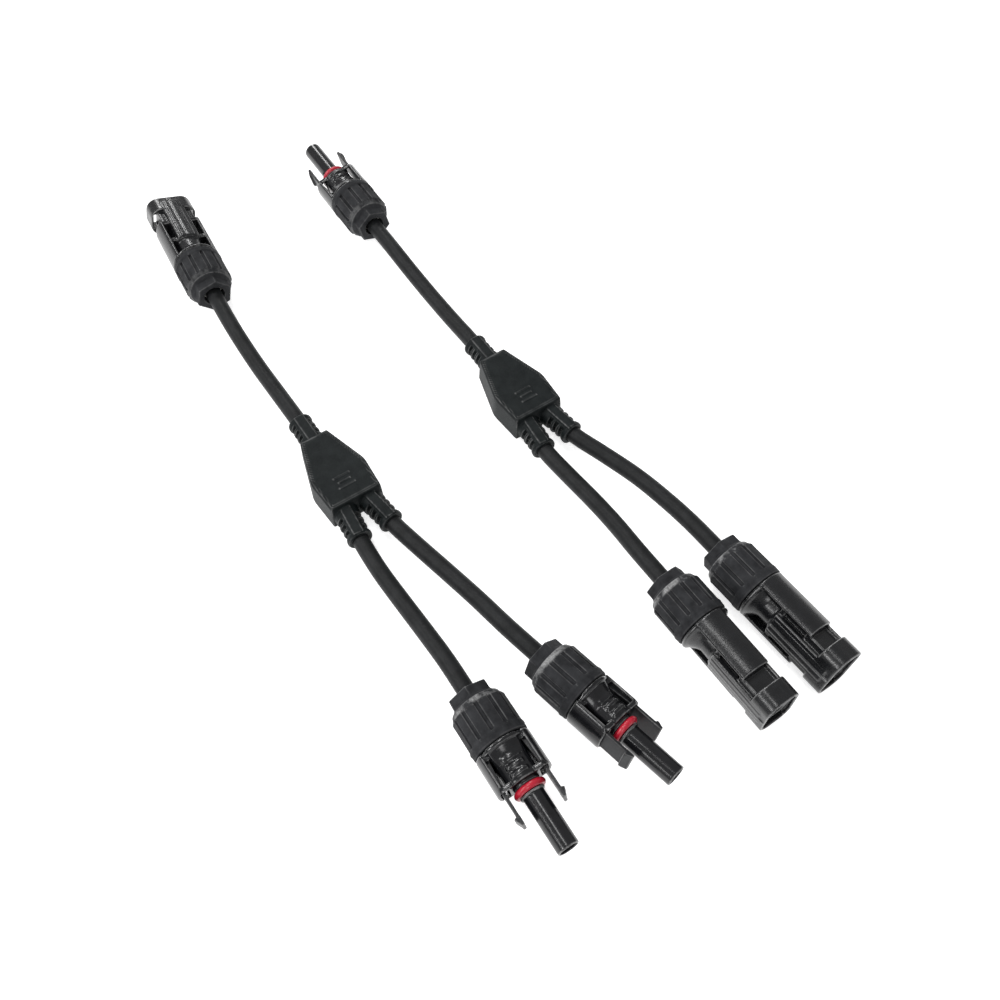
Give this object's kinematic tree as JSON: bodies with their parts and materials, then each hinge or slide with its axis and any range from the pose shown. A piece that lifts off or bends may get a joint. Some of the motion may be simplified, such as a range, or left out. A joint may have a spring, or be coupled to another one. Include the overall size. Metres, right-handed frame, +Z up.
{
  "type": "solar cable connector",
  "caption": "Matching black Y-branch solar cable leads with latching round plugs and sockets, gland nuts, red seal rings and moulded branch blocks.",
  "frame": {"origin": "middle of the two leads' bounding box, on the surface that they lie on", "axes": "+X runs along the leads from the stem connectors to the branch connectors, +Y runs from lead A to lead B, +Z is up"},
  "size_m": [0.3154, 0.1204, 0.0195],
  "materials": {
    "housing_plastic": "moulded glass-filled plastic, satin to glossy black",
    "latch_plastic": "moulded plastic, satin black",
    "nut_plastic": "fine-textured matte black",
    "block_plastic": "fine-textured matte black",
    "cable_jacket": "satin black cable jacket",
    "red_rubber": "raspberry red silicone",
    "seal_rubber": "soft grey rubber",
    "clamp_plastic": "white moulded plastic",
    "tinned_copper": "bright tin plating",
    "bare_copper": "bare copper"
  },
  "bodies": {
    "lead_a": {"a_stem_housing": "housing_plastic", "a_stem_pin_contact": "tinned_copper", "a_stem_cable_seal": "seal_rubber", "a_branch1_housing": "housing_plastic", "a_branch1_o_ring": "red_rubber", "a_branch1_socket_contact": "tinned_copper", "a_branch1_cable_seal": "seal_rubber", "a_branch2_housing": "housing_plastic", "a_branch2_o_ring": "red_rubber", "a_branch2_socket_contact": "tinned_copper", "a_branch2_cable_seal": "seal_rubber", "a_branch_block": "block_plastic", "a_splice": "bare_copper", "a_conductors": "bare_copper", "a_stem_cable": "cable_jacket", "a_branch1_cable": "cable_jacket", "a_branch2_cable": "cable_jacket"},
    "lead_b": {"b_stem_housing": "housing_plastic", "b_stem_o_ring": "red_rubber", "b_stem_socket_contact": "tinned_copper", "b_stem_cable_seal": "seal_rubber", "b_branch1_housing": "housing_plastic", "b_branch1_pin_contact": "tinned_copper", "b_branch1_cable_seal": "seal_rubber", "b_branch2_housing": "housing_plastic", "b_branch2_pin_contact": "tinned_copper", "b_branch2_cable_seal": "seal_rubber", "b_branch_block": "block_plastic", "b_splice": "bare_copper", "b_conductors": "bare_copper", "b_stem_cable": "cable_jacket", "b_branch1_cable": "cable_jacket", "b_branch2_cable": "cable_jacket"},
    "a_stem_clamp_ring": {"a_stem_clamp_ring": "clamp_plastic"},
    "a_stem_nut": {"a_stem_gland_nut": "nut_plastic"},
    "a_branch1_latch_left": {"a_branch1_latch_left": "latch_plastic"},
    "a_branch1_latch_right": {"a_branch1_latch_right": "latch_plastic"},
    "a_branch1_clamp_ring": {"a_branch1_clamp_ring": "clamp_plastic"},
    "a_branch1_nut": {"a_branch1_gland_nut": "nut_plastic"},
    "a_branch2_latch_left": {"a_branch2_latch_left": "latch_plastic"},
    "a_branch2_latch_right": {"a_branch2_latch_right": "latch_plastic"},
    "a_branch2_clamp_ring": {"a_branch2_clamp_ring": "clamp_plastic"},
    "a_branch2_nut": {"a_branch2_gland_nut": "nut_plastic"},
    "b_stem_latch_left": {"b_stem_latch_left": "latch_plastic"},
    "b_stem_latch_right": {"b_stem_latch_right": "latch_plastic"},
    "b_stem_clamp_ring": {"b_stem_clamp_ring": "clamp_plastic"},
    "b_stem_nut": {"b_stem_gland_nut": "nut_plastic"},
    "b_branch1_clamp_ring": {"b_branch1_clamp_ring": "clamp_plastic"},
    "b_branch1_nut": {"b_branch1_gland_nut": "nut_plastic"},
    "b_branch2_clamp_ring": {"b_branch2_clamp_ring": "clamp_plastic"},
    "b_branch2_nut": {"b_branch2_gland_nut": "nut_plastic"}
  },
  "joints": [
    {"name": "lead_b_sideways", "type": "slide", "parent": "lead_a", "child": "lead_b", "axis": [0, 1, 0], "range_m": [0, 0.06]},
    {"name": "a_stem_nut_travel", "type": "slide", "parent": "lead_a", "child": "a_stem_clamp_ring", "axis": [0.9962, -0.0872, 0], "range_m": [0, 0.0046]},
    {"name": "a_stem_nut_turn", "type": "hinge", "parent": "a_stem_clamp_ring", "child": "a_stem_nut", "pos_m": [-0.11056, -0.04183, 0.00975], "axis": [0.9962, -0.0872, 0], "range_deg": [0, 1080]},
    {"name": "a_branch1_nut_travel", "type": "slide", "parent": "lead_a", "child": "a_branch1_clamp_ring", "axis": [-0.9997, 0.0262, 0], "range_m": [0, 0.0046]},
    {"name": "a_branch1_nut_turn", "type": "hinge", "parent": "a_branch1_clamp_ring", "child": "a_branch1_nut", "pos_m": [0.1069, -0.04996, 0.00975], "axis": [-0.9997, 0.0262, 0], "range_deg": [0, 1080]},
    {"name": "a_branch1_latch_left_flex", "type": "hinge", "parent": "lead_a", "child": "a_branch1_latch_left", "pos_m": [0.11908, -0.04295, 0.01078], "axis": [0.0036, 0.1391, -0.9903], "range_deg": [0, 4.5], "stiffness_Nm_per_rad": 0.3},
    {"name": "a_branch1_latch_right_flex", "type": "hinge", "parent": "lead_a", "child": "a_branch1_latch_right", "pos_m": [0.1187, -0.0576, 0.00872], "axis": [-0.0036, -0.1391, 0.9903], "range_deg": [0, 4.5], "stiffness_Nm_per_rad": 0.3},
    {"name": "a_branch2_nut_travel", "type": "slide", "parent": "lead_a", "child": "a_branch2_clamp_ring", "axis": [-0.9781, -0.2079, 0], "range_m": [0, 0.0046]},
    {"name": "a_branch2_nut_turn", "type": "hinge", "parent": "a_branch2_clamp_ring", "child": "a_branch2_nut", "pos_m": [0.10868, -0.02152, 0.00975], "axis": [-0.9781, -0.2079, 0], "range_deg": [0, 1080]},
    {"name": "a_branch2_latch_left_flex", "type": "hinge", "parent": "lead_a", "child": "a_branch2_latch_left", "pos_m": [0.11894, -0.01207, 0.00771], "axis": [0.0573, -0.2696, -0.9613], "range_deg": [0, 4.5], "stiffness_Nm_per_rad": 0.3},
    {"name": "a_branch2_latch_right_flex", "type": "hinge", "parent": "lead_a", "child": "a_branch2_latch_right", "pos_m": [0.1219, -0.02598, 0.01179], "axis": [-0.0573, 0.2696, 0.9613], "range_deg": [0, 4.5], "stiffness_Nm_per_rad": 0.3},
    {"name": "b_stem_nut_travel", "type": "slide", "parent": "lead_b", "child": "b_stem_clamp_ring", "axis": [0.9998, -0.0175, 0], "range_m": [0, 0.0046]},
    {"name": "b_stem_nut_turn", "type": "hinge", "parent": "b_stem_clamp_ring", "child": "b_stem_nut", "pos_m": [-0.1092, 0.03047, 0.00975], "axis": [0.9998, -0.0175, 0], "range_deg": [0, 1080]},
    {"name": "b_stem_latch_left_flex", "type": "hinge", "parent": "lead_b", "child": "b_stem_latch_left", "pos_m": [-0.12132, 0.02345, 0.00821], "axis": [0.0036, 0.2079, -0.9781], "range_deg": [0, 4.5], "stiffness_Nm_per_rad": 0.3},
    {"name": "b_stem_latch_right_flex", "type": "hinge", "parent": "lead_b", "child": "b_stem_latch_right", "pos_m": [-0.12107, 0.03792, 0.01129], "axis": [-0.0036, -0.2079, 0.9781], "range_deg": [0, 4.5], "stiffness_Nm_per_rad": 0.3},
    {"name": "b_branch1_nut_travel", "type": "slide", "parent": "lead_b", "child": "b_branch1_clamp_ring", "axis": [-0.9998, -0.0175, 0], "range_m": [0, 0.0046]},
    {"name": "b_branch1_nut_turn", "type": "hinge", "parent": "b_branch1_clamp_ring", "child": "b_branch1_nut", "pos_m": [0.1099, 0.02668, 0.00975], "axis": [-0.9998, -0.0175, 0], "range_deg": [0, 1080]},
    {"name": "b_branch2_nut_travel", "type": "slide", "parent": "lead_b", "child": "b_branch2_clamp_ring", "axis": [-0.9986, -0.0523, 0], "range_m": [0, 0.0046]},
    {"name": "b_branch2_nut_turn", "type": "hinge", "parent": "b_branch2_clamp_ring", "child": "b_branch2_nut", "pos_m": [0.11089, 0.04982, 0.00975], "axis": [-0.9986, -0.0523, 0], "range_deg": [0, 1080]}
  ],
  "couplings": [
    {"joint": "a_stem_nut_travel", "follows": "a_stem_nut_turn", "m_per_rad": 0.00023873},
    {"joint": "a_branch1_nut_travel", "follows": "a_branch1_nut_turn", "m_per_rad": 0.00023873},
    {"joint": "a_branch2_nut_travel", "follows": "a_branch2_nut_turn", "m_per_rad": 0.00023873},
    {"joint": "b_stem_nut_travel", "follows": "b_stem_nut_turn", "m_per_rad": 0.00023873},
    {"joint": "b_branch1_nut_travel", "follows": "b_branch1_nut_turn", "m_per_rad": 0.00023873},
    {"joint": "b_branch2_nut_travel", "follows": "b_branch2_nut_turn", "m_per_rad": 0.00023873}
  ]
}
